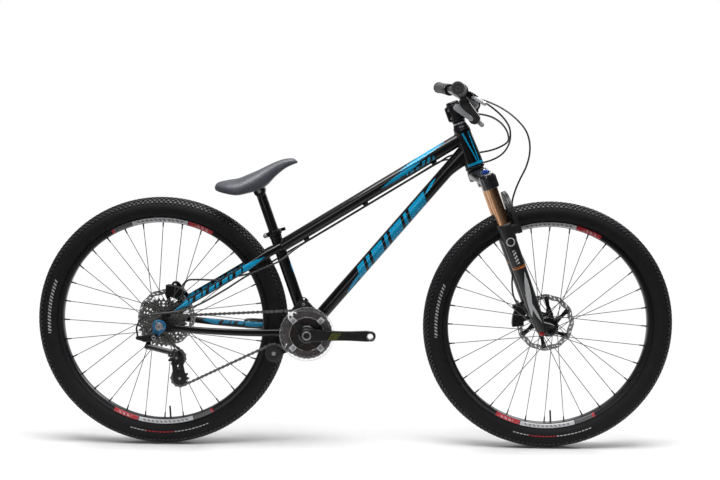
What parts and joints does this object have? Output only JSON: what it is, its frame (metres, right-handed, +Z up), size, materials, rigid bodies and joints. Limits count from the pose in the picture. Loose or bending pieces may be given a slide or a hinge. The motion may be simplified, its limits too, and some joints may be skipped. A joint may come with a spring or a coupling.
{
  "type": "dirt jump bike",
  "caption": "Dirt jump bike: low black frame with no rear shock, short-travel fork, disc brakes, one chainring with guard and guide, and a rear derailleur.",
  "frame": {"origin": "on the ground, midway between the wheel axles and between the two sides", "axes": "+X forward, +Y to the rider's left, +Z up"},
  "size_m": [1.728, 0.7512, 0.9975],
  "materials": {
    "black_alloy": "satin black",
    "blue_alloy": "satin blue",
    "clear_plastic": "clear",
    "cog_steel": "brushed",
    "cover": "matt",
    "grey_plastic": "matt",
    "paint": "gloss",
    "red_alloy": "satin red",
    "rubber": "matt",
    "silver_steel": "polished",
    "tyre": "matt"
  },
  "bodies": {
    "frame": {"head_tube": "paint", "top_tube": "paint", "down_tube": "paint", "seat_tube": "paint", "bottom_bracket_shell": "black_alloy", "right_chainstay": "paint", "left_chainstay": "paint", "right_seatstay": "paint", "left_seatstay": "paint", "derailleur_hanger": "blue_alloy", "upper_headset_bearing": "black_alloy", "lower_headset_bearing": "black_alloy", "chain_guide": "grey_plastic", "seat_collar": "black_alloy", "rear_caliper": "black_alloy", "rear_axle": "silver_steel", "rear_brake_hose": "rubber", "shift_housing": "rubber", "chain": "cog_steel", "derailleur_body": "black_alloy"},
    "steering": {"fork_crown": "black_alloy", "stem": "black_alloy", "stem_faceplate": "black_alloy", "handlebar": "black_alloy", "right_grip": "rubber", "left_grip": "rubber", "right_brake_body": "black_alloy", "left_brake_body": "black_alloy", "shifter_body": "grey_plastic", "front_brake_hose": "rubber"},
    "lower_legs": {"fork_lowers": "black_alloy", "front_caliper": "black_alloy", "front_axle": "black_alloy"},
    "front_wheel": {"front_tyre": "tyre", "front_rim": "black_alloy", "front_hub": "black_alloy", "front_rotor": "cog_steel"},
    "rear_wheel": {"rear_tyre": "tyre", "rear_rim": "black_alloy", "rear_hub": "black_alloy", "rear_rotor": "cog_steel"},
    "cogs": {"cassette": "cog_steel"},
    "crankset": {"right_crank": "black_alloy", "left_crank": "black_alloy", "chainring": "cog_steel", "chain_guard": "clear_plastic"},
    "shift_arm": {"derailleur_link": "black_alloy"},
    "shift_knuckle": {"derailleur_knuckle": "black_alloy"},
    "shift_cage": {"derailleur_cage": "black_alloy"},
    "upper_pulley_wheel": {"upper_pulley": "grey_plastic"},
    "lower_pulley_wheel": {"lower_pulley": "grey_plastic"},
    "right_lever": {"right_brake_lever": "black_alloy"},
    "left_lever": {"left_brake_lever": "black_alloy"},
    "thumb_paddle": {"shift_thumb_paddle": "silver_steel"},
    "release_trigger": {"shift_release_trigger": "grey_plastic"},
    "compression_dial": {"compression_knob": "blue_alloy"},
    "rebound_dial": {"rebound_knob": "red_alloy"},
    "seat_post": {"seatpost": "black_alloy"},
    "seat": {"saddle": "cover"},
    "clamp_lever": {"seat_clamp_lever": "black_alloy"}
  },
  "joints": [
    {"name": "steering_turn", "type": "hinge", "parent": "frame", "child": "steering", "pos_m": [0.3154, 0, 0.77323], "axis": [-0.3535, 0, 0.9354], "range_deg": [-60, 60], "deforming": ["rear_brake_hose", "shift_housing"]},
    {"name": "fork_travel", "type": "slide", "parent": "steering", "child": "lower_legs", "axis": [-0.3535, 0, 0.9354], "range_m": [0, 0.1], "stiffness_N_per_m": 8000, "deforming": ["front_brake_hose"]},
    {"name": "front_wheel_spin", "type": "hinge", "parent": "lower_legs", "child": "front_wheel", "pos_m": [0.524, 0, 0.34], "axis": [0, 1, 0], "continuous": true},
    {"name": "rear_wheel_spin", "type": "hinge", "parent": "frame", "child": "rear_wheel", "pos_m": [-0.524, 0, 0.34], "axis": [0, 1, 0], "continuous": true},
    {"name": "crank_spin", "type": "hinge", "parent": "frame", "child": "crankset", "pos_m": [-0.13, 0, 0.32], "axis": [0, 1, 0], "continuous": true, "deforming": ["chain"]},
    {"name": "cassette_spin", "type": "hinge", "parent": "frame", "child": "cogs", "pos_m": [-0.524, 0, 0.34], "axis": [0, 1, 0], "continuous": true, "deforming": ["chain"]},
    {"name": "shift_swing", "type": "hinge", "parent": "frame", "child": "shift_arm", "pos_m": [-0.556, -0.082, 0.286], "axis": [0.2802, 0.5736, 0.7698], "range_deg": [0, 33], "deforming": ["chain"]},
    {"name": "knuckle_turn", "type": "hinge", "parent": "shift_arm", "child": "shift_knuckle", "pos_m": [-0.48712, -0.09875, 0.27341], "axis": [0.2802, 0.5736, 0.7698], "range_deg": [-33, 0], "deforming": ["chain"]},
    {"name": "cage_swing", "type": "hinge", "parent": "shift_knuckle", "child": "shift_cage", "pos_m": [-0.486, -0.075, 0.265], "axis": [0, 1, 0], "range_deg": [-45, 12], "stiffness_Nm_per_rad": 0.6, "springref_deg": 22.92, "deforming": ["chain"]},
    {"name": "upper_pulley_spin", "type": "hinge", "parent": "shift_cage", "child": "upper_pulley_wheel", "pos_m": [-0.4805, -0.057, 0.2505], "axis": [0, 1, 0], "continuous": true, "deforming": ["chain"]},
    {"name": "lower_pulley_spin", "type": "hinge", "parent": "shift_cage", "child": "lower_pulley_wheel", "pos_m": [-0.4725, -0.057, 0.1945], "axis": [0, 1, 0], "continuous": true, "deforming": ["chain"]},
    {"name": "right_lever_pull", "type": "hinge", "parent": "steering", "child": "right_lever", "pos_m": [0.29008, -0.22208, 0.95774], "axis": [-0.4846, 0.0333, -0.8741], "range_deg": [0, 20], "stiffness_Nm_per_rad": 0.3, "springref_deg": -17.19},
    {"name": "left_lever_pull", "type": "hinge", "parent": "steering", "child": "left_lever", "pos_m": [0.29008, 0.22208, 0.95774], "axis": [0.4846, 0.0333, 0.8741], "range_deg": [0, 20], "stiffness_Nm_per_rad": 0.3, "springref_deg": -17.19},
    {"name": "paddle_push", "type": "hinge", "parent": "steering", "child": "thumb_paddle", "pos_m": [0.28514, -0.20201, 0.90404], "axis": [0.1352, 0.9901, -0.0372], "range_deg": [0, 22], "stiffness_Nm_per_rad": 0.1, "springref_deg": -17.19},
    {"name": "trigger_pull", "type": "hinge", "parent": "steering", "child": "release_trigger", "pos_m": [0.29609, -0.17557, 0.90584], "axis": [0.1352, 0.9901, -0.0372], "range_deg": [0, 18], "stiffness_Nm_per_rad": 0.1, "springref_deg": -17.19},
    {"name": "compression_turn", "type": "hinge", "parent": "steering", "child": "compression_dial", "pos_m": [0.33848, -0.065, 0.76164], "axis": [-0.3535, 0, 0.9354], "range_deg": [0, 120]},
    {"name": "rebound_turn", "type": "hinge", "parent": "lower_legs", "child": "rebound_dial", "pos_m": [0.50108, -0.065, 0.33134], "axis": [-0.3535, 0, 0.9354], "range_deg": [0, 270]},
    {"name": "seatpost_slide", "type": "slide", "parent": "frame", "child": "seat_post", "axis": [-0.3289, 0, 0.9444], "range_m": [-0.02, 0.06]},
    {"name": "saddle_tilt", "type": "hinge", "parent": "seat_post", "child": "seat", "pos_m": [-0.2622, 0, 0.69964], "axis": [0, 1, 0], "range_deg": [-8, 8]},
    {"name": "clamp_lever_turn", "type": "hinge", "parent": "frame", "child": "clamp_lever", "pos_m": [-0.24618, 0.0203, 0.57762], "axis": [-0.3289, 0, 0.9444], "range_deg": [0, 150]}
  ],
  "couplings": [
    {"joint": "cassette_spin", "follows": "crank_spin", "ratio": 2.9091},
    {"joint": "upper_pulley_spin", "follows": "crank_spin", "ratio": -2.9091},
    {"joint": "lower_pulley_spin", "follows": "crank_spin", "ratio": 2.9091},
    {"joint": "knuckle_turn", "follows": "shift_swing", "ratio": -1}
  ]
}
